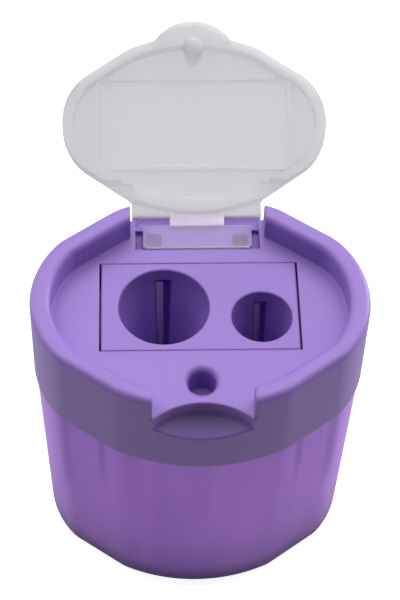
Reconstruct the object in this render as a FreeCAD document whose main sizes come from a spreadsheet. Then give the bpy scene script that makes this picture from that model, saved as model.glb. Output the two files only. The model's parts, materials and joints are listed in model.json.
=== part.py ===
"""Two-hole canister pencil sharpener with a flip lid.

Frame: millimetres, +Z up, origin on the base plane under the middle of the plan,
-Y towards the thumb tab, +Y towards the hinge. The lid is drawn closed and then
swung open about its hinge line.
"""
import FreeCAD, Part
import math
import os
import Sketcher

SIZES = {
    # plan outline, shared by cap, receptacle and lid
    "half_width": 22.3,
    "half_depth": 17.3,
    "lobe_radius": 13.9,
    "face_radius": 26.0,
    "flat_angle": 54.6,
    "corner_cut": 0.25,
    "corner_radius": 7.0,
    # receptacle
    "receptacle_height": 35.8,
    "receptacle_setback": 0.26,
    "receptacle_draft": 1.55,
    "base_rounding": 3.2,
    "floor_thickness": 2.0,
    "inner_rounding": 2.4,
    "neck_top_gap": 0.7,
    "neck_wall": 1.0,
    # cap
    "skirt_height": 10.3,
    "skirt_wall": 1.2,
    "skirt_clearance": 0.2,
    "deck_thickness": 2.0,
    "rim_height": 4.0,
    "rim_width": 2.7,
    "rim_rounding": 0.95,
    "rim_end_rounding": 0.4,
    "rear_end_rounding": 0.2,
    "skirt_rounding": 0.3,
    "notch_clearance": 0.4,
    "rear_gap_clearance": 0.2,
    "boss_half_width": 8.5,
    "boss_reach": 4.9,
    "boss_drop": 2.6,
    "scoop_radius": 9.4,
    "scoop_depth": 3.36,
    "scoop_wall": 2.25,
    "scoop_fall": 1.2,
    # snap peg and its hole
    "peg_setback": 6.72,
    "peg_clearance": 0.4,
    "peg_bore_rounding": 0.9,
    "peg_collar_radius": 3.4,
    "peg_radius": 1.1,
    "peg_bulb_radius": 1.45,
    "peg_length": 4.8,
    # sharpener block
    "block_length": 26.07,
    "block_wall": 1.01,
    "block_depth": 24.0,
    "block_centre": 1.3,
    "block_end_gap": 0.25,
    "block_side_gap": 0.05,
    "block_chamfer": 0.15,
    "ledge_width": 1.2,
    "ledge_height": 1.5,
    "ledge_length": 9.0,
    "hook_gap": 0.2,
    "hook_thickness": 1.2,
    "hook_reach": 0.9,
    "hook_height": 1.0,
    "hook_length": 6.0,
    "large_hole_margin": 2.265,
    "large_hole_radius": 6.03,
    "large_lead_in": 2.2,
    "large_tip_radius": 1.0,
    "small_hole_margin": 0.855,
    "small_hole_front_wall": 1.28,
    "small_hole_radius": 4.0,
    "small_lead_in": 2.2,
    "small_tip_radius": 0.6,
    # blades and their screws
    "blade_length": 18.5,
    "blade_width": 6.8,
    "blade_thickness": 1.0,
    "blade_bevel": 0.7,
    "blade_slit": 0.08,
    "blade_top_gap": 0.3,
    "seat_side_room": 2.4,
    "blade_hole_radius": 1.4,
    "blade_back_margin": 2.0,
    "screw_drop": 14.0,
    "screw_radius": 1.25,
    "screw_grip": 4.0,
    "screw_head_radius": 1.9,
    "screw_head_height": 1.3,
    "screw_slot_width": 0.6,
    "screw_slot_depth": 0.6,
    "thread_clearance": 0.05,
    # living hinge
    "hinge_setback": 1.8,
    "hinge_rise": 0.5,
    "lid_open_angle": 166.0,
    "recess_side_room": 1.02,
    "recess_reach": 6.48,
    "recess_depth": 1.0,
    "slot_depth": 1.7,
    "leaf_half_width": 7.4,
    "leaf_gap": 0.18,
    "leaf_proud": 0.15,
    "film_half_width": 3.7,
    "film_reach": 0.8,
    "film_thickness": 0.35,
    "window_inner": 4.8,
    "window_width": 2.2,
    "window_length": 2.55,
    "window_setback": 0.58,
    "post_clearance": 0.15,
    "barb_height": 0.6,
    "barb_reach": 0.3,
    # lid
    "lid_gap": 1.1,
    "lid_rise": 1.4,
    "lid_flange_width": 1.5,
    "lid_flange_height": 1.3,
    "lid_plate": 1.2,
    "lid_rounding": 0.9,
    "tab_radius": 6.1,
    "tab_setback": 1.3,
    "tab_thickness": 1.5,
    "tab_root_rounding": 1.0,
    "ear_half_width": 8.85,
    "ear_thickness": 0.95,
    "ear_root_rounding": 0.6,
    "relief_reach": 8.3,
    "relief_outer": 15.0,
    "relief_room": 0.5,
    "panel_overhang": 0.9,
    "panel_side_overhang": 0.36,
    "panel_shift": 1.58,
    "rib_width": 0.8,
    "rib_height": 0.5,
}

# How far a cut runs past the face that it opens
OVERSHOOT = 1.0

doc = FreeCAD.newDocument("canister_sharpener")
sheet = doc.addObject("Spreadsheet::Sheet", "Sizes")
for line, (alias, number) in enumerate(SIZES.items(), start=1):
    sheet.set(f"A{line}", alias)
    sheet.set(f"B{line}", str(number))
    sheet.setAlias(f"B{line}", alias)
doc.recompute()


class Size:
    """A length or angle: its present value and the sheet formula it comes from."""

    def __init__(self, value, text):
        self.value = value
        self.text = text

    def __add__(self, other):
        other = sized(other)
        return Size(self.value + other.value, f"({self.text} + {other.text})")

    def __sub__(self, other):
        other = sized(other)
        return Size(self.value - other.value, f"({self.text} - {other.text})")

    def __mul__(self, other):
        other = sized(other)
        return Size(self.value * other.value, f"({self.text} * {other.text})")

    def __truediv__(self, other):
        other = sized(other)
        return Size(self.value / other.value, f"({self.text} / {other.text})")

    def __rsub__(self, other):
        return sized(other) - self

    def __neg__(self):
        return Size(-self.value, f"(-{self.text})")


def sized(item):
    return item if isinstance(item, Size) else Size(float(item), f"({float(item)})")


def size(alias):
    return Size(SIZES[alias], f"Sizes.{alias}")


def sine(angle):
    return Size(math.sin(math.radians(angle.value)), f"sin({angle.text} * 1deg)")


def cosine(angle):
    return Size(math.cos(math.radians(angle.value)), f"cos({angle.text} * 1deg)")


def slope_angle(rise, run):
    """Angle in degrees, as a plain number, of a slope."""
    return Size(
        math.degrees(math.atan2(rise.value, run.value)),
        f"(atan({rise.text} / {run.text}) / 1deg)",
    )


def root(square):
    return Size(math.sqrt(square.value), f"sqrt({square.text})")


def arc_cosine(share):
    """Angle in degrees, as a plain number, that has this cosine."""
    return Size(math.degrees(math.acos(share.value)), f"(acos({share.text}) / 1deg)")


def smaller(one, other):
    return Size(min(one.value, other.value), f"min({one.text}; {other.text})")


ZERO = sized(0.0)

# Levels and lines that several pieces share
skirt_bottom = size("receptacle_height")
deck = skirt_bottom + size("skirt_height")
deck_underside = deck - size("deck_thickness")
rim_top = deck + size("rim_height")
hinge_y = size("half_depth") - size("hinge_setback")
hinge_z = deck + size("hinge_rise")
film_start = hinge_y - size("film_reach")
recess_front = size("half_depth") - size("recess_reach")
peg_y = size("peg_setback") - size("half_depth")
lid_lip = deck + size("lid_rise")
lid_underside = lid_lip + size("lid_flange_height")
lid_top = lid_underside + size("lid_plate")
film_top_drop = size("hinge_rise") - size("leaf_proud")
lobe_centre = size("half_width") - size("lobe_radius")
face_centre = size("face_radius") - size("half_depth")
lobe_rise = lobe_centre * cosine(size("flat_angle"))
face_rise = face_centre * sine(size("flat_angle"))
flat_reach = smaller(lobe_rise + size("lobe_radius"), size("face_radius") - face_rise) - size("corner_cut")
block_y = size("block_centre")
block_bottom = deck - size("block_depth")
block_half_length = size("block_length") / 2
block_half_width = size("large_hole_radius") + size("block_wall")
screw_inset = size("blade_width") - size("blade_back_margin")


def bind(item, path, value):
    item.setExpression(path, sized(value).text)


def new_body(name):
    return doc.addObject("PartDesign::Body", name)


def new_sketch(body, name, plane, height=ZERO, across=ZERO):
    """A sketch on one of the body's own origin planes, moved along its normal and sideways."""
    sketch = body.newObject("Sketcher::SketchObject", name)
    support = next(item for item in body.Origin.OriginFeatures if item.Role == plane)
    sketch.AttachmentSupport = [(support, "")]
    sketch.MapMode = "FlatFace"
    bind(sketch, "AttachmentOffset.Base.z", height)
    bind(sketch, "AttachmentOffset.Base.x", across)
    return sketch


def hold(sketch, kind, axis, element, point, place):
    """Fix one coordinate of a sketch point from the sketch origin."""
    if place.value == 0:
        sketch.addConstraint(Sketcher.Constraint("PointOnObject", element, point, axis))
        return
    ahead = place.value > 0
    length = place if ahead else -place
    ends = (-1, 1, element, point) if ahead else (element, point, -1, 1)
    index = sketch.addConstraint(Sketcher.Constraint(kind, *ends, length.value))
    sketch.setExpression(f"Constraints[{index}]", length.text)


def hold_x(sketch, element, point, place):
    hold(sketch, "DistanceX", -2, element, point, sized(place))


def hold_y(sketch, element, point, place):
    hold(sketch, "DistanceY", -1, element, point, sized(place))


def hold_radius(sketch, element, radius):
    index = sketch.addConstraint(Sketcher.Constraint("Radius", element, radius.value))
    sketch.setExpression(f"Constraints[{index}]", radius.text)


def vector(x, y):
    return FreeCAD.Vector(sized(x).value, sized(y).value, 0)


def add_line(sketch, start, end):
    return sketch.addGeometry(Part.LineSegment(vector(*start), vector(*end)), False)


def add_arc(sketch, centre, radius, first, last):
    """A counter-clockwise arc whose centre and radius are held; its ends are held later."""
    circle = Part.Circle(vector(*centre), FreeCAD.Vector(0, 0, 1), radius.value)
    arc = Part.ArcOfCircle(circle, math.radians(first), math.radians(last))
    element = sketch.addGeometry(arc, False)
    hold_x(sketch, element, 3, centre[0])
    hold_y(sketch, element, 3, centre[1])
    hold_radius(sketch, element, radius)
    return element


def join_ring(sketch, elements):
    for element, follower in zip(elements, elements[1:] + elements[:1]):
        sketch.addConstraint(Sketcher.Constraint("Coincident", element, 2, follower, 1))


def polygon(sketch, corners):
    corners = [(sized(x), sized(y)) for x, y in corners]
    lines = [add_line(sketch, a, b) for a, b in zip(corners, corners[1:] + corners[:1])]
    join_ring(sketch, lines)
    for element, (x, y) in zip(lines, corners):
        hold_x(sketch, element, 1, x)
        hold_y(sketch, element, 1, y)


def rectangle(sketch, left, right, front, back):
    polygon(sketch, [(left, front), (right, front), (right, back), (left, back)])


def circle(sketch, x, y, radius):
    shape = Part.Circle(vector(x, y), FreeCAD.Vector(0, 0, 1), radius.value)
    element = sketch.addGeometry(shape, False)
    hold_x(sketch, element, 3, x)
    hold_y(sketch, element, 3, y)
    hold_radius(sketch, element, radius)


def outline(sketch, inset):
    """The plan: side lobes and front and back faces as arcs, cut by four diagonal flats."""
    lobe = size("lobe_radius") - inset
    face = size("face_radius") - inset
    lobe_sweep = size("flat_angle") - arc_cosine((flat_reach - inset - lobe_rise) / lobe)
    face_sweep = 90 - size("flat_angle") - arc_cosine((flat_reach - inset + face_rise) / face)
    lobe_end_y = lobe * sine(lobe_sweep)
    lobe_end_x = lobe_centre + lobe * cosine(lobe_sweep)
    face_end_x = face * sine(face_sweep)
    face_end_y = face * cosine(face_sweep) - face_centre
    lobe_turn = lobe_sweep.value
    face_turn = face_sweep.value

    right = add_arc(sketch, (lobe_centre, ZERO), lobe, -lobe_turn, lobe_turn)
    back_right = add_line(sketch, (lobe_end_x, lobe_end_y), (face_end_x, face_end_y))
    back = add_arc(sketch, (ZERO, -face_centre), face, 90 - face_turn, 90 + face_turn)
    back_left = add_line(sketch, (-face_end_x, face_end_y), (-lobe_end_x, lobe_end_y))
    left = add_arc(sketch, (-lobe_centre, ZERO), lobe, 180 - lobe_turn, 180 + lobe_turn)
    front_left = add_line(sketch, (-lobe_end_x, -lobe_end_y), (-face_end_x, -face_end_y))
    front = add_arc(sketch, (ZERO, face_centre), face, 270 - face_turn, 270 + face_turn)
    front_right = add_line(sketch, (face_end_x, -face_end_y), (lobe_end_x, -lobe_end_y))
    join_ring(sketch, [right, back_right, back, back_left, left, front_left, front, front_right])

    hold_y(sketch, right, 1, -lobe_end_y)
    hold_y(sketch, right, 2, lobe_end_y)
    hold_y(sketch, left, 1, lobe_end_y)
    hold_y(sketch, left, 2, -lobe_end_y)
    hold_x(sketch, back, 1, face_end_x)
    hold_x(sketch, back, 2, -face_end_x)
    hold_x(sketch, front, 1, -face_end_x)
    hold_x(sketch, front, 2, face_end_x)


def tongue(sketch, half_width, radius, straight, rear):
    """A strip with one edge along the front or back face's arc and a straight opposite edge."""
    sign = 1 if rear else -1
    middle = 90 if rear else 270
    turn = math.degrees(math.asin(half_width.value / radius.value))
    end_y = sign * (math.sqrt(radius.value ** 2 - half_width.value ** 2) - face_centre.value)
    centre = -face_centre if rear else face_centre
    arc = add_arc(sketch, (ZERO, centre), radius, middle - turn, middle + turn)
    first = half_width if rear else -half_width
    side_out = add_line(sketch, (-first, end_y), (-first, straight))
    edge = add_line(sketch, (-first, straight), (first, straight))
    side_in = add_line(sketch, (first, straight), (first, end_y))
    join_ring(sketch, [arc, side_out, edge, side_in])
    hold_x(sketch, arc, 1, first)
    hold_x(sketch, arc, 2, -first)
    hold_x(sketch, edge, 1, -first)
    hold_x(sketch, edge, 2, first)
    hold_y(sketch, edge, 1, straight)
    hold_y(sketch, edge, 2, straight)


def extrude(body, kind, name, sketch, length, reverse=False, taper=None, symmetric=False):
    """A pad or pocket of a sketch; a pocket that removes nothing is an error."""
    doc.recompute()
    before = body.Shape.Volume if body.Tip else 0.0
    feature = body.newObject(f"PartDesign::{kind}", name)
    feature.Profile = sketch
    bind(feature, "Length", length)
    feature.Reversed = reverse
    if symmetric:
        feature.SideType = "Symmetric"
    if taper is not None:
        bind(feature, "TaperAngle", taper)
    doc.recompute()
    change = body.Shape.Volume - before
    if (change <= 0) == (kind == "Pad"):
        raise RuntimeError(f"{name} changed the volume of {body.Label} by {change:.3f}")
    return feature


def turned(body, kind, name, sketch):
    """A revolution or groove about the sketch's own upright axis."""
    doc.recompute()
    before = body.Shape.Volume
    feature = body.newObject(f"PartDesign::{kind}", name)
    feature.Profile = sketch
    feature.ReferenceAxis = (sketch, ["V_Axis"])
    feature.Angle = 360
    doc.recompute()
    change = body.Shape.Volume - before
    if (change <= 0) == (kind == "Revolution"):
        raise RuntimeError(f"{name} changed the volume of {body.Label} by {change:.3f}")
    return feature


def dress(body, kind, name, base, wanted, amount):
    """A fillet or chamfer on the edges of the base feature that the test picks."""
    doc.recompute()
    names = [f"Edge{i}" for i, edge in enumerate(base.Shape.Edges, start=1) if wanted(edge)]
    if not names:
        raise RuntimeError(f"{name} found no edges on {body.Label}")
    feature = body.newObject(f"PartDesign::{kind}", name)
    feature.Base = (base, names)
    bind(feature, "Radius" if kind == "Fillet" else "Size", amount)
    doc.recompute()
    if "Invalid" in feature.State:
        raise RuntimeError(f"{name} failed on {body.Label}")
    return feature


def lies_at(height):
    """Edges that lie in the level plane at that height."""
    def test(edge):
        box = edge.BoundBox
        return abs(box.ZMin - height.value) < 1e-4 and abs(box.ZMax - height.value) < 1e-4
    return test


def stands(edge):
    """Edges that run up and down, drafted or not."""
    box = edge.BoundBox
    return box.ZLength > 2 * max(box.XLength, box.YLength)


def make_receptacle():
    body = new_body("receptacle")
    sketch = new_sketch(body, "receptacle_plan", "XY_Plane", skirt_bottom)
    outline(sketch, size("receptacle_setback"))
    shell = extrude(body, "Pad", "receptacle_shell", sketch, size("receptacle_height"),
                    reverse=True, taper=-size("receptacle_draft"))
    corners = dress(body, "Fillet", "receptacle_corners", shell, stands, size("corner_radius"))
    dress(body, "Fillet", "receptacle_base_edge", corners, lies_at(ZERO), size("base_rounding"))

    neck_inset = size("skirt_wall") + size("skirt_clearance")
    neck_plan = new_sketch(body, "neck_plan", "XY_Plane", skirt_bottom)
    outline(neck_plan, neck_inset)
    mouth = deck_underside - size("boss_drop") - size("neck_top_gap")
    extrude(body, "Pad", "neck", neck_plan, mouth - skirt_bottom)

    cavity_plan = new_sketch(body, "cavity_plan", "XY_Plane", mouth)
    outline(cavity_plan, neck_inset + size("neck_wall"))
    cavity = extrude(body, "Pocket", "cavity", cavity_plan, mouth - size("floor_thickness"),
                     taper=-size("receptacle_draft"))
    dress(body, "Fillet", "cavity_floor_edge", cavity, lies_at(size("floor_thickness")),
          size("inner_rounding"))
    return body


def make_cap():
    body = new_body("cap")
    plan = new_sketch(body, "cap_plan", "XY_Plane", skirt_bottom)
    outline(plan, ZERO)
    solid = extrude(body, "Pad", "cap_solid", plan, rim_top - skirt_bottom)
    corners = dress(body, "Fillet", "cap_corners", solid, stands, size("corner_radius"))
    dress(body, "Fillet", "skirt_bottom_edge", corners, lies_at(skirt_bottom), size("skirt_rounding"))

    well = new_sketch(body, "well_plan", "XY_Plane", rim_top)
    outline(well, size("rim_width"))
    pocket = extrude(body, "Pocket", "well", well, size("rim_height"))

    def well_corner(edge):
        return stands(edge) and abs(edge.BoundBox.ZMin - deck.value) < 1e-4

    inner_radius = size("corner_radius") - size("rim_width")
    pocket = dress(body, "Fillet", "well_corners", pocket, well_corner, inner_radius)
    dress(body, "Fillet", "rim_edges", pocket, lies_at(rim_top), size("rim_rounding"))

    hollow = new_sketch(body, "hollow_plan", "XY_Plane", skirt_bottom)
    outline(hollow, size("skirt_wall"))
    extrude(body, "Pocket", "hollow", hollow, deck_underside - skirt_bottom, reverse=True)

    add_thumb_scoop(body)
    add_peg_hole(body)
    add_block_seat(body)
    add_hinge_seat(body)
    return body


def add_thumb_scoop(body):
    """The notch in the rim for the lid's tab, and the scoop below it, backed by a boss."""
    boss = new_sketch(body, "boss_plan", "XY_Plane", deck_underside)
    tongue(boss, size("boss_half_width"), size("face_radius") - size("skirt_wall") / 2,
           size("boss_reach") - size("half_depth"), rear=False)
    extrude(body, "Pad", "boss", boss, size("boss_drop"), reverse=True)

    notch = new_sketch(body, "notch_plan", "XY_Plane", rim_top)
    half = size("tab_radius") + size("notch_clearance")
    rectangle(notch, -half, half, -(size("half_depth") + OVERSHOOT),
              size("rim_width") * 2 - size("half_depth"))
    cut = extrude(body, "Pocket", "notch", notch, size("rim_height"))
    dress(body, "Fillet", "notch_ends", cut, rim_end(half, front=True), size("rim_end_rounding"))

    radius = size("scoop_radius")
    axis_y = size("scoop_depth") - size("half_depth") - radius
    profile = new_sketch(body, "scoop_profile", "YZ_Plane", ZERO, axis_y)
    wall_foot = deck - size("scoop_wall")
    wall_face = radius - size("scoop_depth")
    polygon(profile, [(ZERO, rim_top), (radius, rim_top), (radius, wall_foot),
                      (wall_face, wall_foot - size("scoop_fall")),
                      (ZERO, wall_foot - size("scoop_fall"))])
    turned(body, "Groove", "scoop", profile)


def rim_end(half_width, front):
    """Edges round the end faces of the rim, to the front or the back of the plan."""
    def test(edge):
        box = edge.BoundBox
        on_end = abs(abs(box.XMin) - half_width.value) < 1e-4 and box.XLength < 1e-4
        return on_end and box.ZMax > deck.value + 1e-3 and (box.YMax < 0) == front
    return test


def add_peg_hole(body):
    collar = new_sketch(body, "peg_collar_plan", "XY_Plane", deck_underside)
    circle(collar, ZERO, peg_y, size("peg_collar_radius"))
    extrude(body, "Pad", "peg_collar", collar, size("boss_drop"), reverse=True)

    radius = size("peg_bulb_radius") + size("peg_clearance")
    bore = new_sketch(body, "peg_bore_plan", "XY_Plane", deck)
    circle(bore, ZERO, peg_y, radius)
    depth = size("deck_thickness") + size("boss_drop") + OVERSHOOT
    hole = extrude(body, "Pocket", "peg_bore", bore, depth)

    def mouth(edge):
        round_edge = edge.Curve.TypeId == "Part::GeomCircle"
        return round_edge and lies_at(deck)(edge) and abs(edge.Curve.Radius - radius.value) < 1e-4

    dress(body, "Fillet", "peg_bore_mouth", hole, mouth, size("peg_bore_rounding"))


def add_block_seat(body):
    """The opening for the sharpener block and the two hooks that hold its ledges."""
    half_length = block_half_length + size("block_end_gap")
    half_width = block_half_width + size("block_side_gap")
    opening = new_sketch(body, "block_opening_plan", "XY_Plane", deck)
    rectangle(opening, -half_length, half_length, block_y - half_width, block_y + half_width)
    extrude(body, "Pocket", "block_opening", opening, size("deck_thickness") + OVERSHOOT)

    inner = block_half_length + size("ledge_width") + size("hook_gap")
    outer = inner + size("hook_thickness")
    tip = inner - size("hook_reach")
    shelf = deck_underside - size("ledge_height")
    foot = shelf - size("hook_height")
    hooks = new_sketch(body, "hook_profile", "XZ_Plane", -block_y)
    for side in (1, -1):
        corners = [(inner, deck_underside), (outer, deck_underside), (outer, foot), (tip, foot),
                   (tip, shelf), (inner, shelf)]
        polygon(hooks, [(x * side, z) for x, z in corners])
    extrude(body, "Pad", "hooks", hooks, size("hook_length"), symmetric=True)


def add_hinge_seat(body):
    """The gap in the rim behind the hinge, the recess for its leaf, and the slots and windows there."""
    beyond = size("half_depth") + OVERSHOOT
    gap = new_sketch(body, "rear_gap_plan", "XY_Plane", rim_top)
    half = size("ear_half_width") + size("rear_gap_clearance")
    rectangle(gap, -half, half, size("half_depth") - size("rim_width") * 2, beyond)
    cut = extrude(body, "Pocket", "rear_gap", gap, size("rim_height"))
    dress(body, "Fillet", "rear_gap_ends", cut, rim_end(half, front=False), size("rear_end_rounding"))

    recess = new_sketch(body, "recess_plan", "XY_Plane", deck)
    half = size("leaf_half_width") + size("recess_side_room")
    rectangle(recess, -half, half, recess_front, beyond)
    extrude(body, "Pocket", "recess", recess, size("recess_depth"))

    slots = new_sketch(body, "slot_plan", "XY_Plane", deck)
    for left, right in mirrored(size("leaf_half_width"), half):
        rectangle(slots, left, right, recess_front, film_start)
    extrude(body, "Pocket", "slots", slots, size("slot_depth"))

    windows = new_sketch(body, "window_plan", "XY_Plane", deck)
    front = recess_front + size("window_setback")
    for left, right in mirrored(size("window_inner"), size("window_inner") + size("window_width")):
        rectangle(windows, left, right, front, front + size("window_length"))
    extrude(body, "Pocket", "windows", windows, size("deck_thickness") + OVERSHOOT)


def mirrored(inner, outer):
    """The left and right extents of a pair that straddles the middle."""
    return ((inner, outer), (-outer, -inner))


HOLES = {
    "large": {
        "x": size("large_hole_margin") + size("large_hole_radius") - block_half_length,
        "y": block_y,
        "radius": size("large_hole_radius"),
        "lead_in": size("large_lead_in"),
        "tip": size("large_tip_radius"),
    },
    "small": {
        "x": block_half_length - size("small_hole_radius") - size("small_hole_margin"),
        "y": block_y - block_half_width + size("small_hole_radius") + size("small_hole_front_wall"),
        "radius": size("small_hole_radius"),
        "lead_in": size("small_lead_in"),
        "tip": size("small_tip_radius"),
    },
}


def cone_angle(hole):
    return slope_angle(hole["radius"] - hole["tip"], size("block_depth") - hole["lead_in"])


def put(item, x, y, z, tilt=None):
    """Place an object, leaning its upright axis back by the tilt in degrees."""
    bind(item, "Placement.Base.x", x)
    bind(item, "Placement.Base.y", y)
    bind(item, "Placement.Base.z", z)
    if tilt is not None:
        item.Placement.Rotation = FreeCAD.Rotation(FreeCAD.Vector(1, 0, 0), -tilt.value)
        bind(item, "Placement.Rotation.Angle", -tilt)


def on_seat(hole, along, across=ZERO):
    """A point on the blade seat: `along` below its top edge, `across` from the hole's middle."""
    tilt = cone_angle(hole)
    top_y = hole["y"] + hole["radius"] - size("blade_slit")
    top_z = deck - hole["lead_in"]
    return (hole["x"] + across, top_y - along * sine(tilt), top_z - along * cosine(tilt))


def primitive(kind, name, **sizes):
    item = doc.addObject(f"Part::{kind}", name)
    for key, value in sizes.items():
        bind(item, key, value)
    return item


def make_sharpener_block():
    core = new_body("block_core")
    plan = new_sketch(core, "block_plan", "XY_Plane", block_bottom)
    rectangle(plan, -block_half_length, block_half_length,
              block_y - block_half_width, block_y + block_half_width)
    brick = extrude(core, "Pad", "block_brick", plan, size("block_depth"))
    dress(core, "Chamfer", "block_top_edge", brick, lies_at(deck), size("block_chamfer"))
    span = (block_half_length + size("ledge_width")) * 2
    ledges = primitive("Box", "block_ledges", Length=span, Width=size("ledge_length"),
                       Height=size("ledge_height"))
    put(ledges, -(span / 2), block_y - size("ledge_length") / 2, deck_underside - size("ledge_height"))
    blank = doc.addObject("Part::MultiFuse", "block_blank")
    blank.Shapes = [core, ledges]
    blank.Refine = True

    cutters = []
    for name, hole in HOLES.items():
        cutters += hole_cutters(name, hole)
    tools = doc.addObject("Part::MultiFuse", "block_cutters")
    tools.Shapes = cutters
    block = doc.addObject("Part::Cut", "sharpener_block")
    block.Base = blank
    block.Tool = tools
    return block


def hole_cutters(name, hole):
    """What is cut from the block for one hole: mouth, lead-in, cone, blade seat and screw hole."""
    tilt = cone_angle(hole)
    lead = primitive("Cylinder", f"{name}_lead_in", Radius=hole["radius"],
                     Height=hole["lead_in"] + OVERSHOOT)
    put(lead, hole["x"], hole["y"], deck - hole["lead_in"])
    chamfer = size("block_chamfer")
    mouth = primitive("Cone", f"{name}_mouth", Radius1=hole["radius"],
                      Radius2=hole["radius"] + chamfer * 2, Height=chamfer * 2)
    put(mouth, hole["x"], hole["y"], deck - chamfer)
    cone = primitive("Cone", f"{name}_cone", Radius1=hole["tip"], Radius2=hole["radius"],
                     Height=size("block_depth") - hole["lead_in"])
    put(cone, hole["x"], hole["y"], block_bottom)

    seat_length = (size("block_depth") - hole["lead_in"]) / cosine(tilt) + OVERSHOOT * 5
    seat_width = size("blade_width") + size("seat_side_room")
    seat = primitive("Box", f"{name}_seat", Length=seat_width, Width=block_half_width * 2,
                     Height=seat_length)
    put(seat, *on_seat(hole, seat_length, -size("blade_width")), tilt)

    pilot = new_body(f"{name}_pilot_hole")
    sketch = new_sketch(pilot, f"{name}_pilot_plan", "XZ_Plane")
    circle(sketch, ZERO, ZERO, size("screw_radius") + size("thread_clearance"))
    extrude(pilot, "Pad", f"{name}_pilot_depth", sketch, size("screw_grip") + size("thread_clearance"))
    put(pilot, *on_seat(hole, size("screw_drop"), -screw_inset), tilt)
    return [mouth, lead, cone, seat, pilot]


def make_blade(name, hole):
    """A ground steel blade lying on its seat, cutting edge along the slit in the cone."""
    body = new_body(f"blade_{name}")
    top = -size("blade_top_gap")
    bottom = top - size("blade_length")
    profile = new_sketch(body, f"blade_{name}_plan", "XZ_Plane")
    rectangle(profile, -size("blade_width"), ZERO, bottom, top)
    plate = extrude(body, "Pad", f"blade_{name}_plate", profile, size("blade_thickness"), reverse=True)
    screw_hole = new_sketch(body, f"blade_{name}_hole_plan", "XZ_Plane", -size("blade_thickness"))
    circle(screw_hole, -screw_inset, -size("screw_drop"), size("blade_hole_radius"))
    depth = size("blade_thickness") + OVERSHOOT
    hole_cut = extrude(body, "Pocket", f"blade_{name}_hole", screw_hole, depth, reverse=True)

    def cutting_edge(edge):
        box = edge.BoundBox
        outer = abs(box.YMax - SIZES["blade_thickness"]) < 1e-4 and box.YLength < 1e-4
        return outer and abs(box.XMin) < 1e-4 and abs(box.XMax) < 1e-4

    dress(body, "Chamfer", f"blade_{name}_bevel", hole_cut, cutting_edge, size("blade_bevel"))
    put(body, *on_seat(hole, ZERO), cone_angle(hole))
    return body


def make_screw(name, hole):
    """A slotted screw, drawn about the Y axis with its head outwards."""
    body = new_body(f"{name}_screw")
    under_head = size("blade_thickness")
    shank = new_sketch(body, f"{name}_shank_plan", "XZ_Plane", size("screw_grip"))
    circle(shank, ZERO, ZERO, size("screw_radius"))
    extrude(body, "Pad", f"{name}_shank", shank, size("screw_grip") + under_head, reverse=True)
    head = new_sketch(body, f"{name}_head_plan", "XZ_Plane", -under_head)
    circle(head, ZERO, ZERO, size("screw_head_radius"))
    extrude(body, "Pad", f"{name}_head", head, size("screw_head_height"), reverse=True)
    slot = new_sketch(body, f"{name}_slot_plan", "XZ_Plane", -(under_head + size("screw_head_height")))
    half = size("screw_slot_width") / 2
    reach = size("screw_head_radius") + OVERSHOOT
    rectangle(slot, -reach, reach, -half, half)
    extrude(body, "Pocket", f"{name}_slot", slot, size("screw_slot_depth"), reverse=True)
    put(body, *on_seat(hole, size("screw_drop"), -screw_inset), cone_angle(hole))
    return body


def make_blade_screws():
    group = doc.addObject("Part::Compound", "blade_screws")
    group.Links = [make_screw(name, hole) for name, hole in HOLES.items()]
    return group


def make_hinge_leaf():
    """The anchor leaf of the lid moulding, held by two barbed posts through the deck."""
    body = new_body("hinge_leaf")
    seat = deck - size("recess_depth")
    half = size("leaf_half_width")
    plate = new_sketch(body, "leaf_plan", "XY_Plane", seat)
    rectangle(plate, -half, half, recess_front + size("leaf_gap"), film_start)
    extrude(body, "Pad", "leaf_plate", plate, size("recess_depth") + size("leaf_proud"))

    room = size("post_clearance")
    inner = size("window_inner") + room
    outer = size("window_inner") + size("window_width") - room
    front = recess_front + size("window_setback") + room
    back = front + size("window_length") - room * 2
    drop = size("deck_thickness") - size("recess_depth") + room
    posts = new_sketch(body, "post_plan", "XY_Plane", seat)
    barbs = new_sketch(body, "barb_plan", "XY_Plane", seat - drop)
    for left, right in mirrored(inner, outer):
        rectangle(posts, left, right, front, back)
    extrude(body, "Pad", "posts", posts, drop, reverse=True)
    reach = room + size("barb_reach")
    for left, right in mirrored(inner - reach, outer + reach):
        rectangle(barbs, left, right, front, back)
    extrude(body, "Pad", "barbs", barbs, size("barb_height"), reverse=True)
    return body


def swung(y, z):
    """Where a point of the closed lid lies once the lid is open."""
    turn = size("lid_open_angle")
    ahead = y - hinge_y
    above = z - hinge_z
    return (hinge_y + ahead * cosine(turn) + above * sine(turn),
            hinge_z + above * cosine(turn) - ahead * sine(turn))


def make_hinge_film():
    """The thin web between leaf and lid, drawn as it lies with the lid open."""
    body = new_body("hinge_film")
    leaf_top = deck + size("leaf_proud")
    lid_face = hinge_z + film_top_drop
    profile = new_sketch(body, "film_profile", "YZ_Plane")
    polygon(profile, [(film_start, leaf_top - size("film_thickness")),
                      swung(film_start, lid_face + size("film_thickness")),
                      swung(film_start, lid_face),
                      (film_start, leaf_top)])
    extrude(body, "Pad", "film", profile, size("film_half_width") * 2, symmetric=True)
    return body


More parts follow.
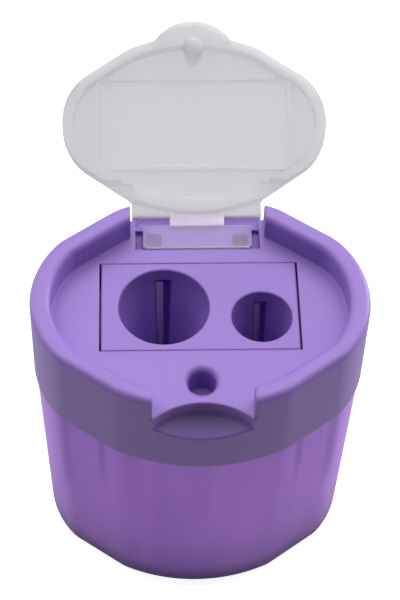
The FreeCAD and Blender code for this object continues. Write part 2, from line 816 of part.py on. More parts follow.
def make_lid():
    body = new_body("lid")
    inset = size("rim_width") + size("lid_gap")
    plan = new_sketch(body, "lid_plan", "XY_Plane", lid_lip)
    outline(plan, inset)
    slab = extrude(body, "Pad", "lid_slab", plan, lid_top - lid_lip)
    corners = dress(body, "Fillet", "lid_corners", slab, stands, size("corner_radius"))
    dress(body, "Fillet", "lid_outer_edge", corners, lies_at(lid_top), size("lid_rounding"))

    tab_plan = new_sketch(body, "tab_plan", "XY_Plane", lid_lip)
    tab_y = size("tab_radius") + size("tab_setback") - size("half_depth")
    circle(tab_plan, ZERO, tab_y, size("tab_radius"))
    tab = extrude(body, "Pad", "tab", tab_plan, size("tab_thickness"))

    def tab_root(edge):
        return stands(edge) and abs(edge.BoundBox.ZLength - SIZES["tab_thickness"]) < 1e-4

    dress(body, "Fillet", "tab_roots", tab, tab_root, size("tab_root_rounding"))

    tray = new_sketch(body, "tray_plan", "XY_Plane", lid_lip)
    outline(tray, inset + size("lid_flange_width"))
    extrude(body, "Pocket", "tray", tray, size("lid_flange_height"), reverse=True)

    relief = new_sketch(body, "relief_plan", "XY_Plane", lid_lip)
    for left, right in mirrored(size("ear_half_width"), size("relief_outer")):
        rectangle(relief, left, right, size("half_depth") - size("relief_reach"), size("half_depth"))
    relief_depth = size("lid_flange_height") + size("relief_room")
    extrude(body, "Pocket", "relief", relief, relief_depth, reverse=True)

    ears = new_sketch(body, "ear_plan", "XY_Plane", hinge_z + film_top_drop)
    flange_inside = size("face_radius") - inset - size("lid_flange_width")
    tongue(ears, size("ear_half_width"), flange_inside, film_start, rear=True)
    extrude(body, "Pad", "ears", ears, size("ear_thickness"))

    add_ear_roots(body, size("face_radius") - inset)
    add_lid_panel(body)
    add_lid_peg(body)

    turn = size("lid_open_angle")
    base_y, base_z = swung(ZERO, ZERO)
    bind(body, "Placement.Base.y", base_y)
    bind(body, "Placement.Base.z", base_z)
    body.Placement.Rotation = FreeCAD.Rotation(FreeCAD.Vector(1, 0, 0), -turn.value)
    bind(body, "Placement.Rotation.Angle", -turn)
    return body


def add_ear_roots(body, rear_radius):
    """Small hollow-cornered webs where the sides of the ears run into the rear of the lid."""
    rounding = size("ear_root_rounding")
    side = size("ear_half_width")
    centre_x = side + rounding
    span = rear_radius + rounding
    centre_y = root(span * span - centre_x * centre_x) - face_centre
    share = rear_radius / span
    touch_x = centre_x * share
    touch_y = (centre_y + face_centre) * share - face_centre
    fall = math.degrees(math.asin((centre_y.value - touch_y.value) / rounding.value))
    webs = new_sketch(body, "ear_root_plan", "XY_Plane", lid_underside)
    for sign in (1, -1):
        first, last = (180, 180 + fall) if sign > 0 else (360 - fall, 360)
        arc = add_arc(webs, (centre_x * sign, centre_y), rounding, first, last)
        outer = (touch_x * sign, touch_y)
        upper = (side * sign, centre_y)
        inner_x = (side - rounding) * sign
        start, finish = (upper, outer) if sign > 0 else (outer, upper)
        corners = [finish, (inner_x, finish[1]), (inner_x, start[1]), start]
        lines = [add_line(webs, a, b) for a, b in zip(corners, corners[1:])]
        join_ring(webs, [arc] + lines)
        hold_y(webs, arc, 1 if sign > 0 else 2, centre_y)
        hold_x(webs, arc, 2 if sign > 0 else 1, touch_x * sign)
        for line, (x, y) in zip(lines, corners[1:3]):
            hold_x(webs, line, 2, x)
            hold_y(webs, line, 2, y)
    extrude(body, "Pad", "ear_roots", webs, size("lid_plate") - size("lid_rounding") / 2)


def add_lid_panel(body):
    """The low rib that frames the panel over the sharpener block."""
    half_length = block_half_length + size("panel_overhang")
    half_width = block_half_width + size("panel_side_overhang")
    middle = block_y - size("panel_shift")
    rib = size("rib_width")
    frame = new_sketch(body, "panel_plan", "XY_Plane", lid_underside)
    rectangle(frame, -half_length, half_length, middle - half_width, middle + half_width)
    rectangle(frame, rib - half_length, half_length - rib,
              middle - half_width + rib, middle + half_width - rib)
    extrude(body, "Pad", "panel_rib", frame, size("rib_height"), reverse=True)


def add_lid_peg(body):
    """The snap peg: a slim stem and a ball end, turned about its own axis."""
    profile = new_sketch(body, "peg_profile", "YZ_Plane", ZERO, peg_y)
    stem = size("peg_radius")
    ball = size("peg_bulb_radius")
    tip = lid_underside - size("peg_length")
    ball_z = tip + ball
    waist = ball_z + root(ball * ball - stem * stem)
    start = math.degrees(math.asin((waist.value - ball_z.value) / ball.value))
    arc = add_arc(profile, (ZERO, ball_z), ball, -90, start)
    side = add_line(profile, (stem, waist), (stem, lid_underside))
    top = add_line(profile, (stem, lid_underside), (ZERO, lid_underside))
    axis = add_line(profile, (ZERO, lid_underside), (ZERO, tip))
    join_ring(profile, [arc, side, top, axis])
    hold_x(profile, side, 1, stem)
    hold_x(profile, side, 2, stem)
    hold_y(profile, side, 2, lid_underside)
    hold_x(profile, axis, 1, ZERO)
    hold_y(profile, axis, 1, lid_underside)
    hold_x(profile, axis, 2, ZERO)
    turned(body, "Revolution", "peg", profile)


NODES = [
    make_receptacle(),
    make_cap(),
    make_sharpener_block(),
    make_blade("large", HOLES["large"]),
    make_blade("small", HOLES["small"]),
    make_blade_screws(),
    make_hinge_leaf(),
    make_hinge_film(),
    make_lid(),
]
doc.recompute()

for item in doc.Objects:
    if "Invalid" in item.State or "Error" in item.State:
        raise RuntimeError(f"{item.Label} failed: {item.State}")
for node in NODES:
    if node.Shape.isNull() or not node.Shape.isValid():
        raise RuntimeError(f"{node.Label} has no valid shape")

os.makedirs("parts", exist_ok=True)
for node in NODES:
    node.Shape.exportStep(f"parts/{node.Label}.step")
    box = node.Shape.BoundBox
    print(f"{node.Label}: {len(node.Shape.Solids)} solid(s), {node.Shape.Volume:.1f} mm3, "
          f"{box.XLength:.2f} x {box.YLength:.2f} x {box.ZLength:.2f} mm")
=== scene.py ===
"""Two-hole canister pencil sharpener: its finishes, the studio and the camera.

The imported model's frame: +Z up, the hinge towards +Y, the base on z = 0. Meshes are in metres, and the
sizes in the functions that make them are in millimetres.
"""
import json
import math
import bmesh
import bpy
import numpy as np
from mathutils import Matrix, Vector


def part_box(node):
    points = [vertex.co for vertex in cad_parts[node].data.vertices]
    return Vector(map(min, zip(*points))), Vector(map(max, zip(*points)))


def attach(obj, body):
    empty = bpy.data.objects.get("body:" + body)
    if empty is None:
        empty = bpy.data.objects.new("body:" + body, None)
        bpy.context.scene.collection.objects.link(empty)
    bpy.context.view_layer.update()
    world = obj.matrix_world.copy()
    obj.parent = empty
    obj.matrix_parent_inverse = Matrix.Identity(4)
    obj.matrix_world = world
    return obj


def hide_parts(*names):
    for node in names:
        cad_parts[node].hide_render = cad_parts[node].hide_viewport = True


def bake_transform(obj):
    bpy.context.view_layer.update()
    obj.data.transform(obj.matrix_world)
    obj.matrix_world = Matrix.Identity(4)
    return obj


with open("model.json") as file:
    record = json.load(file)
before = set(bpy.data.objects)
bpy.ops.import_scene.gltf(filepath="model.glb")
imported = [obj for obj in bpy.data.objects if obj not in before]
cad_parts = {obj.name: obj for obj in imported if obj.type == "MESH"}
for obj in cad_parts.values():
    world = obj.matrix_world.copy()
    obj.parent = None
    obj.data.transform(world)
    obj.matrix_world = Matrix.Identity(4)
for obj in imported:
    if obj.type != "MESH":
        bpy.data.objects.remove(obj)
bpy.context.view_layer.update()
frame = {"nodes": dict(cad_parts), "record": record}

MM = 0.001
RECORD = frame["record"]
LID_HINGE = next(joint for joint in RECORD["behaviour"]["joints"] if joint["name"] == "lid_hinge")
HINGE_Y, HINGE_Z = (place / MM for place in LID_HINGE["pos_m"][1:])
OPEN_ANGLE = math.radians(LID_HINGE["range_deg"][1])
HINGE_RISE = 0.5
DECK = HINGE_Z - HINGE_RISE
BODY_OF = {node: body for body, nodes in RECORD["behaviour"]["bodies"].items() for node in nodes}

# The plan, shared by receptacle and cap, in millimetres and degrees
HALF_WIDTH = 22.3
HALF_DEPTH = 17.3
LOBE_RADIUS = 13.9
FACE_RADIUS = 26.0
FLAT_ANGLE = 54.6
CORNER_CUT = 0.25
CORNER_RADIUS = 7.0

PEG_SETBACK = 6.72
PEG_Y = PEG_SETBACK - HALF_DEPTH
# Lifts the leaf's skin off the deck, in metres
LEAF_LIFT = 0.06 * MM
# Edges sharper than these angles stay sharp, in degrees
NODE_CREASE = 24.0
SHELL_CREASE = 30.0
ROUND_CREASE = 40.0


class Socket:
    """A shader socket that takes arithmetic: each operator adds one Math node."""

    def __init__(self, tree, link):
        self.tree = tree
        self.link = link

    def math(self, operation, *values):
        return make_node(self.tree, "ShaderNodeMath", {"operation": operation}, dict(enumerate(values)))

    def __add__(self, other):
        return self.math("ADD", self, other)

    def __sub__(self, other):
        return self.math("SUBTRACT", self, other)

    def __rsub__(self, other):
        return self.math("SUBTRACT", other, self)

    def __mul__(self, other):
        return self.math("MULTIPLY", self, other)

    def __abs__(self):
        return self.math("ABSOLUTE", self)

    def between(self, low, high):
        """0 below low, 1 above high and a smooth step between."""
        return make_node(self.tree, "ShaderNodeMapRange", {"interpolation_type": "SMOOTHSTEP"}, {
            "Value": self, "From Min": low, "From Max": high})

    __radd__ = __add__
    __rmul__ = __mul__


def make_node(tree, kind, settings=None, inputs=None, output=0):
    """Add a node: its settings first, then the values or links of its sockets."""
    node = tree.nodes.new(kind)
    for key, value in (settings or {}).items():
        setattr(node, key, value)
    for key, value in (inputs or {}).items():
        if isinstance(value, Socket):
            tree.links.new(value.link, node.inputs[key])
        else:
            node.inputs[key].default_value = value
    return Socket(tree, node.outputs[output]) if node.outputs else None


def new_material(name):
    material = bpy.data.materials.new(name)
    material.use_nodes = True
    tree = material.node_tree
    tree.nodes.clear()
    return material, tree


def finish_surface(tree, shader):
    make_node(tree, "ShaderNodeOutputMaterial", inputs={"Surface": shader})


def object_place(tree):
    return make_node(tree, "ShaderNodeTexCoord", output="Object")


def true_normal(tree):
    return make_node(tree, "ShaderNodeNewGeometry", output="Normal")


def part_of(tree, vector, axis):
    """One component of a vector socket: X, Y or Z."""
    return make_node(tree, "ShaderNodeSeparateXYZ", inputs={"Vector": vector}, output=axis)


def dot(tree, first, second):
    return make_node(tree, "ShaderNodeVectorMath", {"operation": "DOT_PRODUCT"}, {0: first, 1: second},
                     output="Value")


def noise(tree, place, scale, detail=3.0, roughness=0.55):
    return make_node(tree, "ShaderNodeTexNoise", inputs={
        "Vector": place, "Scale": scale, "Detail": detail, "Roughness": roughness})


def stretched(tree, place, scale):
    """Object coordinates scaled per axis, for streaks that follow the mould."""
    return make_node(tree, "ShaderNodeMapping", inputs={"Vector": place, "Scale": scale})


def colour_mix(tree, factor, low, high):
    return make_node(tree, "ShaderNodeMix", {"data_type": "RGBA"}, {
        "Factor": factor, 6: low, 7: high}, output=2)


def shade_of(colour, share=1.0, lift=0.0):
    """An opaque colour: each part times a share, plus a lift, and no more than 1."""
    return (*(min(1.0, part * share + lift) for part in colour), 1)


def grain_bump(tree, grain, strength, height=0.03 * MM, **normal):
    return make_node(tree, "ShaderNodeBump", inputs={
        "Strength": strength, "Distance": height, "Height": grain, **normal})


def edge_softness(tree, radius):
    """The rounded-edge normal, and a mask that is 0 on flat faces and rises along edges."""
    flat, rounded = 0.01, 0.22
    soft = make_node(tree, "ShaderNodeBevel", {"samples": 6}, {"Radius": radius})
    turned = 1 - dot(tree, soft, true_normal(tree))
    return soft, turned.between(flat, rounded)


def painted_scoop_shade(tree, place, facing):
    """How much painted shade a surface gets: the level bottom of the thumb scoop, most where it meets
    its wall.
    """
    tilted, flat = 0.55, 0.97
    bottom, top = (DECK - 1.6) * MM, (DECK - 0.8) * MM
    lip, wall_foot, front, rear = -17.4 * MM, -14.0 * MM, -13.0 * MM, -12.0 * MM
    at_lip, more_at_wall = 0.6, 0.3
    level = part_of(tree, facing, "Z").between(tilted, flat)
    below_deck = 1 - part_of(tree, place, "Z").between(bottom, top)
    ahead = part_of(tree, place, "Y")
    in_front = 1 - ahead.between(front, rear)
    inwards = at_lip + more_at_wall * ahead.between(lip, wall_foot)
    return level * below_deck * in_front * inwards


def moulded_lilac(name, roughness, rounding):
    """Satin opaque plastic: faint clouding, fine moulded grain, paler edges that are partly wear and
    partly a painted highlight, a few dark specks, and painted shade in the thumb scoop.
    """
    lilac = (0.29, 0.17, 0.55)
    deep, pale, dark = shade_of(lilac, 0.93), shade_of(lilac, 1.12, 0.01), shade_of(lilac, 0.45)
    scoop_shade_colour = (0.05, 0.015, 0.16, 1)
    cloud_scale, grain_scale, speck_scale = 110.0, 4200.0, 520.0
    speck_edge, speck_core, speck_weight = 0.80, 0.84, 0.5
    material, tree = new_material(name)
    place = object_place(tree)
    cloud = noise(tree, place, cloud_scale)
    grain = noise(tree, place, grain_scale, detail=2.0)
    speck = noise(tree, place, speck_scale, detail=1.0).between(speck_edge, speck_core)
    soft, edge = edge_softness(tree, rounding)
    colour = colour_mix(tree, cloud, deep, shade_of(lilac))
    # Paler along the edges: partly wear, partly a painted highlight
    colour = colour_mix(tree, edge * cloud, colour, pale)
    colour = colour_mix(tree, speck * speck_weight, colour, dark)
    # Painted shade: the level floor of the thumb scoop is darkened, most towards its wall
    colour = colour_mix(tree, painted_scoop_shade(tree, place, soft), colour, scoop_shade_colour)
    shader = make_node(tree, "ShaderNodeBsdfPrincipled", inputs={
        "Base Color": colour, "Roughness": roughness + 0.10 * cloud,
        "Normal": grain_bump(tree, grain, 0.08, Normal=soft)})
    finish_surface(tree, shader)
    return material


def rib_shade(tree, place, middle, blur, foot):
    """A soft upright line at middle, to the left and to the right, that fades out at its foot."""
    fade, weight = 10.0 * MM, 0.45
    off = abs(part_of(tree, place, "X")) - middle
    line = 1 - abs(off).between(0.0, blur)
    return weight * (line * part_of(tree, place, "Z").between(foot, foot + fade))


def clear_purple():
    """Tinted see-through plastic, hazed by a fine grain, with faint streaks down the mould's draw.

    Its faint glow is painted light that stands for the light coming through the walls: none at the base,
    and less on the two lines a side where the inner wall turns and shows through darker. Those two lines
    are painted shade, and so is the colour darkening towards the base.
    """
    deep, pale = (0.44, 0.20, 0.80, 1), (0.53, 0.26, 0.86, 1)
    shaded_base, behind = (0.12, 0.04, 0.30, 1), (0.20, 0.07, 0.48, 1)
    unlit, glowing, glow_strength = (0, 0, 0, 1), (0.55, 0.17, 0.92, 1), 0.11
    base_foot, base_top = 0.5 * MM, 7.0 * MM
    glow_foot, glow_top = 1.0 * MM, 17.0 * MM
    facing_away, facing_out = 0.0, 4.0 * MM
    streak_scale, streak_stretch, grain_scale = 160.0, (1.0, 1.0, 0.12), 3000.0
    material, tree = new_material("clear_purple")
    place = object_place(tree)
    height = part_of(tree, place, "Z")
    streak = noise(tree, stretched(tree, place, streak_stretch), streak_scale, detail=2.0)
    grain = noise(tree, place, grain_scale, detail=2.0)
    colour = colour_mix(tree, streak.between(0.3, 0.7), deep, pale)
    # Painted shade: the colour darkens towards the base
    colour = colour_mix(tree, height.between(base_foot, base_top), shaded_base, colour)
    # Painted shade: darker upright lines where the inner wall turns and shows through
    rib = rib_shade(tree, place, 13.2 * MM, 0.7 * MM, 22.0 * MM)
    rib = rib + rib_shade(tree, place, 18.2 * MM, 1.3 * MM, 14.0 * MM)
    colour = colour_mix(tree, rib, colour, behind)
    outwards = dot(tree, stretched(tree, place, (1.0, 1.0, 0.0)), true_normal(tree))
    lit = height.between(glow_foot, glow_top) * outwards.between(facing_away, facing_out)
    lit = lit * (0.7 + 0.3 * streak) * (1 - rib)
    shader = make_node(tree, "ShaderNodeBsdfPrincipled", inputs={
        "Base Color": colour, "Roughness": 0.28 + 0.10 * streak, "Transmission Weight": 0.2,
        "Subsurface Weight": 1.0, "Subsurface Radius": (1.0, 0.8, 1.1), "Subsurface Scale": 1.2 * MM,
        "Emission Color": colour_mix(tree, lit, unlit, glowing), "Emission Strength": glow_strength,
        "IOR": 1.49, "Normal": grain_bump(tree, grain, 0.05)})
    finish_surface(tree, shader)
    return material


def milky_clear(name, tint, roughness, clearness, spread, bend):
    """Untinted plastic, cloudy in the plate: spread is how far light scatters in it, bend its IOR."""
    cloud_scale, grain_scale, deep_share = 130.0, 3600.0, 0.97
    material, tree = new_material(name)
    place = object_place(tree)
    cloud = noise(tree, place, cloud_scale)
    grain = noise(tree, place, grain_scale, detail=2.0)
    shader = make_node(tree, "ShaderNodeBsdfPrincipled", inputs={
        "Base Color": colour_mix(tree, cloud, shade_of(tint, deep_share), shade_of(tint)),
        "Roughness": roughness + 0.08 * cloud, "Transmission Weight": clearness,
        "Subsurface Weight": 1.0, "Subsurface Radius": (1.0, 1.0, 1.0), "Subsurface Scale": spread,
        "IOR": bend, "Normal": grain_bump(tree, grain, 0.05)})
    finish_surface(tree, shader)
    return material


def ground_steel():
    """Bare steel with grinding lines along the blade."""
    dull, bright = (0.50, 0.47, 0.56, 1), (0.60, 0.56, 0.66, 1)
    line_scale, line_stretch, line_height, cloud_scale = 5200.0, (1.0, 1.0, 0.06), 0.02 * MM, 300.0
    material, tree = new_material("ground_steel")
    place = object_place(tree)
    lines = noise(tree, stretched(tree, place, line_stretch), line_scale)
    cloud = noise(tree, place, cloud_scale)
    shader = make_node(tree, "ShaderNodeBsdfPrincipled", inputs={
        "Base Color": colour_mix(tree, cloud, dull, bright), "Metallic": 1.0,
        "Roughness": 0.46 + 0.2 * lines, "Normal": grain_bump(tree, lines, 0.15, line_height)})
    finish_surface(tree, shader)
    return material


def finish_mesh(name, mesh, crease_deg):
    """Merge doubles, shade smooth up to the crease angle, and make the object."""
    work = bmesh.new()
    work.from_mesh(mesh)
    bmesh.ops.remove_doubles(work, verts=work.verts, dist=1e-6)
    work.to_mesh(mesh)
    work.free()
    mesh.shade_smooth()
    mesh.set_sharp_from_angle(angle=math.radians(crease_deg))
    piece = bpy.data.objects.new(name, mesh)
    bpy.context.scene.collection.objects.link(piece)
    return piece


def smooth_copy(node, lift=0.0):
    """A merged copy of a node, smooth except where two faces meet at more than the crease angle."""
    mesh = frame["nodes"][node].data.copy()
    mesh.name = node + "_skin"
    if "custom_normal" in mesh.attributes:
        mesh.attributes.remove(mesh.attributes["custom_normal"])
    mesh.transform(Matrix.Translation((0, 0, lift)))
    piece = finish_mesh(node + "_skin", mesh, NODE_CREASE)
    weighted = piece.modifiers.new("flat_faces", "WEIGHTED_NORMAL")
    weighted.keep_sharp = True
    return piece


def grid_piece(name, points, crease_deg=SHELL_CREASE):
    """A mesh over rows of closed rings: points is an array of rows by ring by 3, in millimetres."""
    rows, ring = points.shape[:2]
    index = np.arange(rows * ring).reshape(rows, ring)
    turned = np.roll(index, -1, axis=1)
    faces = np.stack([index[:-1], turned[:-1], turned[1:], index[1:]], axis=-1).reshape(-1, 4)
    mesh = bpy.data.meshes.new(name)
    mesh.from_pydata((points * MM).reshape(-1, 3).tolist(), [], faces.tolist())
    return finish_mesh(name, mesh, crease_deg)


def rings_at_heights(plan, heights):
    """Rows of rings in x and y, each lifted to its own height."""
    z = np.broadcast_to(heights[:, None, None], plan.shape[:2] + (1,))
    return np.concatenate([plan, z], axis=2)


def close_ends(rings):
    """Rows of rings with a last row at each end drawn together to its middle, which closes it."""
    ends = rings[[0, -1]].mean(axis=1, keepdims=True).repeat(rings.shape[1], axis=1)
    return np.concatenate([ends[:1], rings, ends[1:]])


def unit_circle(steps):
    """Points (cos, sin) of the turn, once round."""
    turn = np.linspace(0, 2 * np.pi, steps, endpoint=False)
    return np.stack([np.cos(turn), np.sin(turn)], axis=1)


def plan_curve(steps=16):
    """The plan as arcs by the angle of their outward normal: side lobe, two corners, face, and mirrors.

    Returns centres, radii and normals; a ring set in by d is centre + (radius - d) * normal. The flat
    between the two corners is the straight link from the last point of one to the first of the other.
    """
    flat = math.radians(FLAT_ANGLE)
    lobe = np.array([HALF_WIDTH - LOBE_RADIUS, 0.0])
    face = np.array([0.0, HALF_DEPTH - FACE_RADIUS])
    along_flat = np.array([math.cos(flat), math.sin(flat)])
    reach = min(lobe @ along_flat + LOBE_RADIUS, face @ along_flat + FACE_RADIUS) - CORNER_CUT

    def corner(centre, radius, side):
        """The rounding that touches an arc and the flat: its centre and the angle where it leaves."""
        gap = (reach - CORNER_RADIUS - centre @ along_flat) / (radius - CORNER_RADIUS)
        turn = flat + side * math.acos(gap)
        return centre + (radius - CORNER_RADIUS) * np.array([math.cos(turn), math.sin(turn)]), turn

    lobe_corner, lobe_end = corner(lobe, LOBE_RADIUS, -1)
    face_corner, face_end = corner(face, FACE_RADIUS, 1)
    stops = [0.0, lobe_end, flat, face_end, math.pi / 2]
    angle = np.concatenate([np.linspace(a, b, steps) for a, b in zip(stops, stops[1:])])
    centre = np.repeat([lobe, lobe_corner, face_corner, face], steps, axis=0)
    radius = np.repeat([LOBE_RADIUS, CORNER_RADIUS, CORNER_RADIUS, FACE_RADIUS], steps)
    normal = np.stack([np.cos(angle), np.sin(angle)], axis=1)
    quarters = [((1, 1), 1), ((-1, 1), -1), ((-1, -1), 1), ((1, -1), -1)]
    return (np.concatenate([(centre * sign)[::way] for sign, way in quarters]),
            np.concatenate([radius[::way] for _, way in quarters]),
            np.concatenate([(normal * sign)[::way] for sign, way in quarters]))


def round_rows(inset, height, radius, first, last, steps=14):
    """Profile rows along an arc: inset and height of its centre, radius, first and last angle."""
    turn = np.radians(np.linspace(first, last, steps))
    return np.stack([inset - radius * np.cos(turn), height + radius * np.sin(turn)], axis=1)


def receptacle_shell():
    """The cup: a profile of insets and heights carried round the plan, closed by flat discs.

    A profile row (d, z) gives the ring centre + (radius - d) * normal at height z. The outside leans
    in by the draft towards the base, turns under on the base rounding, and the cavity does the same.
    """
    seam = 0.04
    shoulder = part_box("cap")[0][2] / MM - seam
    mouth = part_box("receptacle")[1][2] / MM
    draft = 1.55
    lean = math.tan(math.radians(draft))
    outer, neck, cavity = 0.26, 1.4, 2.4
    base_rounding, floor_rounding, floor_height = 3.2, 2.4, 2.0
    lip, lip_steps = 0.25, 5
    disc_shares = [0.0, 0.4, 0.8]

    def fillet(inset, height, base, radius):
        """Inset and height of the centre of a rounding between a leaning wall and a level face."""
        centre_height = base + radius
        across = radius / math.cos(math.radians(draft))
        return inset + (height - centre_height) * lean + across, centre_height

    under = fillet(outer, shoulder, 0.0, base_rounding)
    inside = fillet(cavity, mouth, floor_height, floor_rounding)
    profile = np.concatenate([
        round_rows(*under, base_rounding, -90, -draft),
        round_rows(outer + lip, shoulder - lip, lip, 0, 90, lip_steps),
        [[neck, shoulder]],
        round_rows(neck + lip, mouth - lip, lip, 0, 90, lip_steps),
        round_rows(cavity - lip, mouth - lip, -lip, -90, 0, lip_steps),
        round_rows(*inside, floor_rounding, -draft, -90),
    ])
    share = np.concatenate([disc_shares, np.ones(len(profile)), disc_shares[::-1]])
    profile = np.concatenate([profile[[0, 0, 0]], profile, profile[[-1, -1, -1]]])
    centre, radius, normal = plan_curve()
    reach = radius[None, :, None] - profile[:, 0, None, None]
    plan = (centre[None] + reach * normal[None]) * share[:, None, None]
    return grid_piece("receptacle_skin", rings_at_heights(plan, profile[:, 1]))


def hinge_web(steps=28):
    """The living hinge: a strip between two edges in y and z, thinned towards its middle.

    Each row is a ring round the strip's section; its lower edge is drawn up by a share of the
    thickness that follows the square of a half sine along the strip.
    """
    half_width, corner = 3.7, 0.08
    reach, drop, thickness = 0.8, 0.35, 0.35
    thinning = 0.35
    hinge = np.array([HINGE_Y, HINGE_Z])
    cos, sin = math.cos(OPEN_ANGLE), math.sin(OPEN_ANGLE)
    turn = np.array([[cos, sin], [-sin, cos]])
    near_top = hinge + [-reach, -drop]
    near_bottom = hinge + [-reach, -drop - thickness]
    far_top = hinge + turn @ [-reach, drop]
    far_bottom = hinge + turn @ [-reach, drop + thickness]
    along = np.linspace(0, 1, steps)[:, None]
    top = near_top + (far_top - near_top) * along
    bottom = near_bottom + (far_bottom - near_bottom) * along
    bottom = bottom + (top - bottom) * thinning * np.sin(np.pi * along) ** 2
    across = np.array([-half_width, -half_width + corner, half_width - corner, half_width])
    x = np.concatenate([across, across[::-1]])
    depth = np.array([0.75, 1, 1, 0.75, 0.25, 0, 0, 0.25])[None, :, None]
    section = top[:, None] * (1 - depth) + bottom[:, None] * depth
    spread = np.broadcast_to(x[None, :, None], (steps, len(x), 1))
    rings = close_ends(np.concatenate([spread, section], axis=2))
    return grid_piece("hinge_film_skin", rings, ROUND_CREASE), near_top * MM, far_top * MM


def peg_socket_floor(steps=48):
    """The closed foot of the peg hole: a low drum, its rings at radius times (cos, sin) of the turn."""
    radius, top, bottom = 1.9, DECK - 4.1, DECK - 4.58
    reach = np.array([0.0, radius, radius, 0.0])[:, None, None]
    plan = unit_circle(steps)[None] * reach + np.array([0.0, PEG_Y])
    return grid_piece("peg_socket_floor", rings_at_heights(plan, np.array([bottom, bottom, top, top])))


def bar_across(name, half_width, section, crease_deg=SHELL_CREASE, steps=24):
    """A bar from side to side: its closed section in y and z carried along x, with its ends closed."""
    ring = len(section)
    x = np.linspace(-half_width, half_width, steps)[:, None, None]
    rings = np.concatenate([np.broadcast_to(x, (steps, ring, 1)),
                            np.broadcast_to(section, (steps, ring, 2))], axis=2)
    return grid_piece(name, close_ends(rings), crease_deg)


def hinge_ledge():
    """The ledge under the lid's ears: a rectangle from inside the skirt to its rear, carried across."""
    half_width, front, rear = 8.85, 14.9, HALF_DEPTH - 0.05
    top, bottom = DECK - 1.04, DECK - 1.7
    return bar_across("hinge_ledge", half_width, np.array([
        [front, bottom], [rear, bottom], [rear, top], [front, top]]))


def rear_joint():
    """The closed joint behind the block: the gap and the foot of its groove, carried across."""
    half_width = 13.0
    gap, chamfer, groove, depth = 0.05, 0.15, 0.06, 0.5
    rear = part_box("sharpener_block")[1][1] / MM
    return bar_across("rear_joint", half_width, np.array([
        [rear, DECK - depth], [rear + gap, DECK - depth], [rear + gap, DECK - groove],
        [rear - chamfer + groove, DECK - groove], [rear, DECK - chamfer]]))


def leaf_lip(steps=12):
    """The leaf's rounded front edge, in a paler finish that paints its highlight: a circle, radius times
    (cos, sin) of the turn, carried across.
    """
    radius, end_room, proud = 0.2, 0.4, 0.02
    low, high = (np.array(corner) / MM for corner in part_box("hinge_leaf"))
    middle = [low[1], high[2] + LEAF_LIFT / MM + proud - radius]
    circle = middle + radius * unit_circle(steps)
    return bar_across("leaf_lip", high[0] - end_room, circle, ROUND_CREASE)


def add_trim(piece, finish):
    """A small piece: it takes the given finish and moves with the cap."""
    piece.data.materials.append(finish)
    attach(piece, "cap")


STEEL = ground_steel()
FINISHES = {
    "receptacle": clear_purple(),
    "cap": moulded_lilac("cap_lilac", roughness=0.38, rounding=0.55 * MM),
    "sharpener_block": moulded_lilac("block_lilac", roughness=0.42, rounding=0.2 * MM),
    "lid": milky_clear("milky_lid", tint=(0.745, 0.735, 0.755), roughness=0.75, clearness=0.75,
                       spread=4.0 * MM, bend=1.06),
    "hinge_leaf": milky_clear("clear_leaf", tint=(0.77, 0.63, 1.0), roughness=0.4, clearness=0.7,
                              spread=0.5 * MM, bend=1.3),
    "hinge_film": milky_clear("whitened_film", tint=(0.80, 0.74, 0.88), roughness=0.5, clearness=0.5,
                              spread=0.5 * MM, bend=1.4),
    "blade_large": STEEL,
    "blade_small": STEEL,
    "blade_screws": STEEL,
}
# A thin filler has no room for rounded edges
SHARP_LILAC = moulded_lilac("joint_lilac", roughness=0.42, rounding=0.0)
COPIED = ("cap", "sharpener_block", "lid", "hinge_leaf", "blade_large", "blade_small", "blade_screws")


def dress(node, piece):
    """Give a piece its node's finish, and let it stand for the node."""
    piece.data.materials.clear()
    piece.data.materials.append(FINISHES[node])
    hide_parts(node)


for node in COPIED:
    piece = smooth_copy(node, LEAF_LIFT if node == "hinge_leaf" else 0.0)
    dress(node, piece)
    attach(piece, BODY_OF[node])

cup = receptacle_shell()
dress("receptacle", cup)
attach(cup, "receptacle")

# The leaf's lip takes the paler film finish: a painted highlight along the leaf's front edge
add_trim(leaf_lip(), FINISHES["hinge_film"])
add_trim(peg_socket_floor(), FINISHES["cap"])
add_trim(hinge_ledge(), FINISHES["cap"])
add_trim(rear_joint(), SHARP_LILAC)

web, web_start, web_end = hinge_web()
dress("hinge_film", web)
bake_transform(web)


def camera_sees(tree):
    """1 where the camera looks straight at a surface of the stage, 0 in bounced light."""
    return make_node(tree, "ShaderNodeLightPath", output="Is Camera Ray")


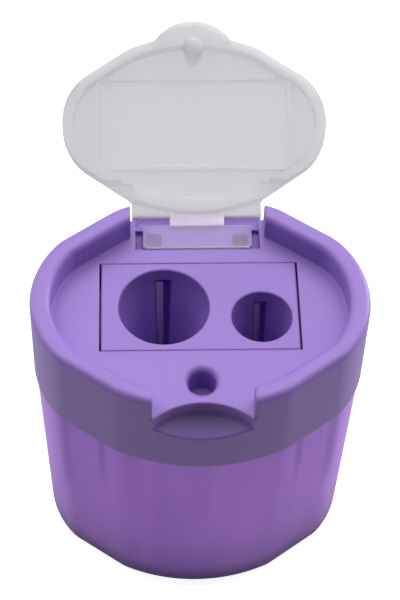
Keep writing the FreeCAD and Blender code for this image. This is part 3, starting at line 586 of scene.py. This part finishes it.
def add_floor():
    half, grey, brightness = 1.2, (0.58, 0.58, 0.58, 1), 0.9
    mesh = bpy.data.meshes.new("floor")
    corners = [(-half, -half, 0), (half, -half, 0), (half, half, 0), (-half, half, 0)]
    mesh.from_pydata(corners, [], [(0, 1, 2, 3)])
    floor = bpy.data.objects.new("floor", mesh)
    bpy.context.scene.collection.objects.link(floor)
    material, tree = new_material("pale_floor")
    matt = make_node(tree, "ShaderNodeBsdfDiffuse", inputs={"Color": grey})
    glow = make_node(tree, "ShaderNodeEmission", inputs={"Strength": camera_sees(tree) * brightness})
    finish_surface(tree, make_node(tree, "ShaderNodeAddShader", inputs={0: matt, 1: glow}))
    mesh.materials.append(material)


def add_light(name, place, target, width, height, watts):
    data = bpy.data.lights.new(name, "AREA")
    data.shape = "RECTANGLE"
    data.size = width
    data.size_y = height
    data.energy = watts
    lamp = bpy.data.objects.new(name, data)
    bpy.context.scene.collection.objects.link(lamp)
    lamp.location = place
    lamp.rotation_euler = (Vector(target) - Vector(place)).to_track_quat("-Z", "Y").to_euler()


def add_camera():
    """The fitted camera: where it stands, what it looks at, and its small roll."""
    place = Vector((-8.314, -147.663, DECK + 207.185)) * MM
    target = Vector((0.07, 2.3, DECK)) * MM
    roll = math.radians(2.04)
    data = bpy.data.cameras.new("camera")
    data.sensor_fit = "VERTICAL"
    data.sensor_height = 36.0
    data.lens = 115.776
    data.clip_start = 0.01
    camera = bpy.data.objects.new("camera", data)
    bpy.context.scene.collection.objects.link(camera)
    turn = (target - place).to_track_quat("-Z", "Y").to_matrix().to_4x4()
    camera.matrix_world = Matrix.Translation(place) @ turn @ Matrix.Rotation(roll, 4, "Z")
    bpy.context.scene.camera = camera


def add_studio():
    """A dim pale surround, one wide light overhead and two small fills behind the object."""
    sky_colour, sky_light = (0.9, 0.9, 0.92, 1), 0.125
    overhead_y, middle = 0.28, (0, 0, 0.03)
    world = bpy.data.worlds.new("studio")
    world.use_nodes = True
    tree = world.node_tree
    tree.nodes.clear()
    sky = make_node(tree, "ShaderNodeBackground", inputs={
        "Color": sky_colour, "Strength": sky_light + camera_sees(tree)})
    make_node(tree, "ShaderNodeOutputWorld", inputs={"Surface": sky})
    bpy.context.scene.world = world
    add_light("overhead", (0, overhead_y, 0.6), (0, overhead_y, 0), width=1.8, height=0.7, watts=9.8)
    add_light("left_fill", (-0.5, 0.35, 0.12), middle, width=0.3, height=0.25, watts=0.8)
    add_light("right_fill", (0.5, 0.35, 0.12), middle, width=0.3, height=0.25, watts=2.2)
    bpy.context.scene.view_settings.view_transform = "Standard"


add_floor()
add_camera()
add_studio()
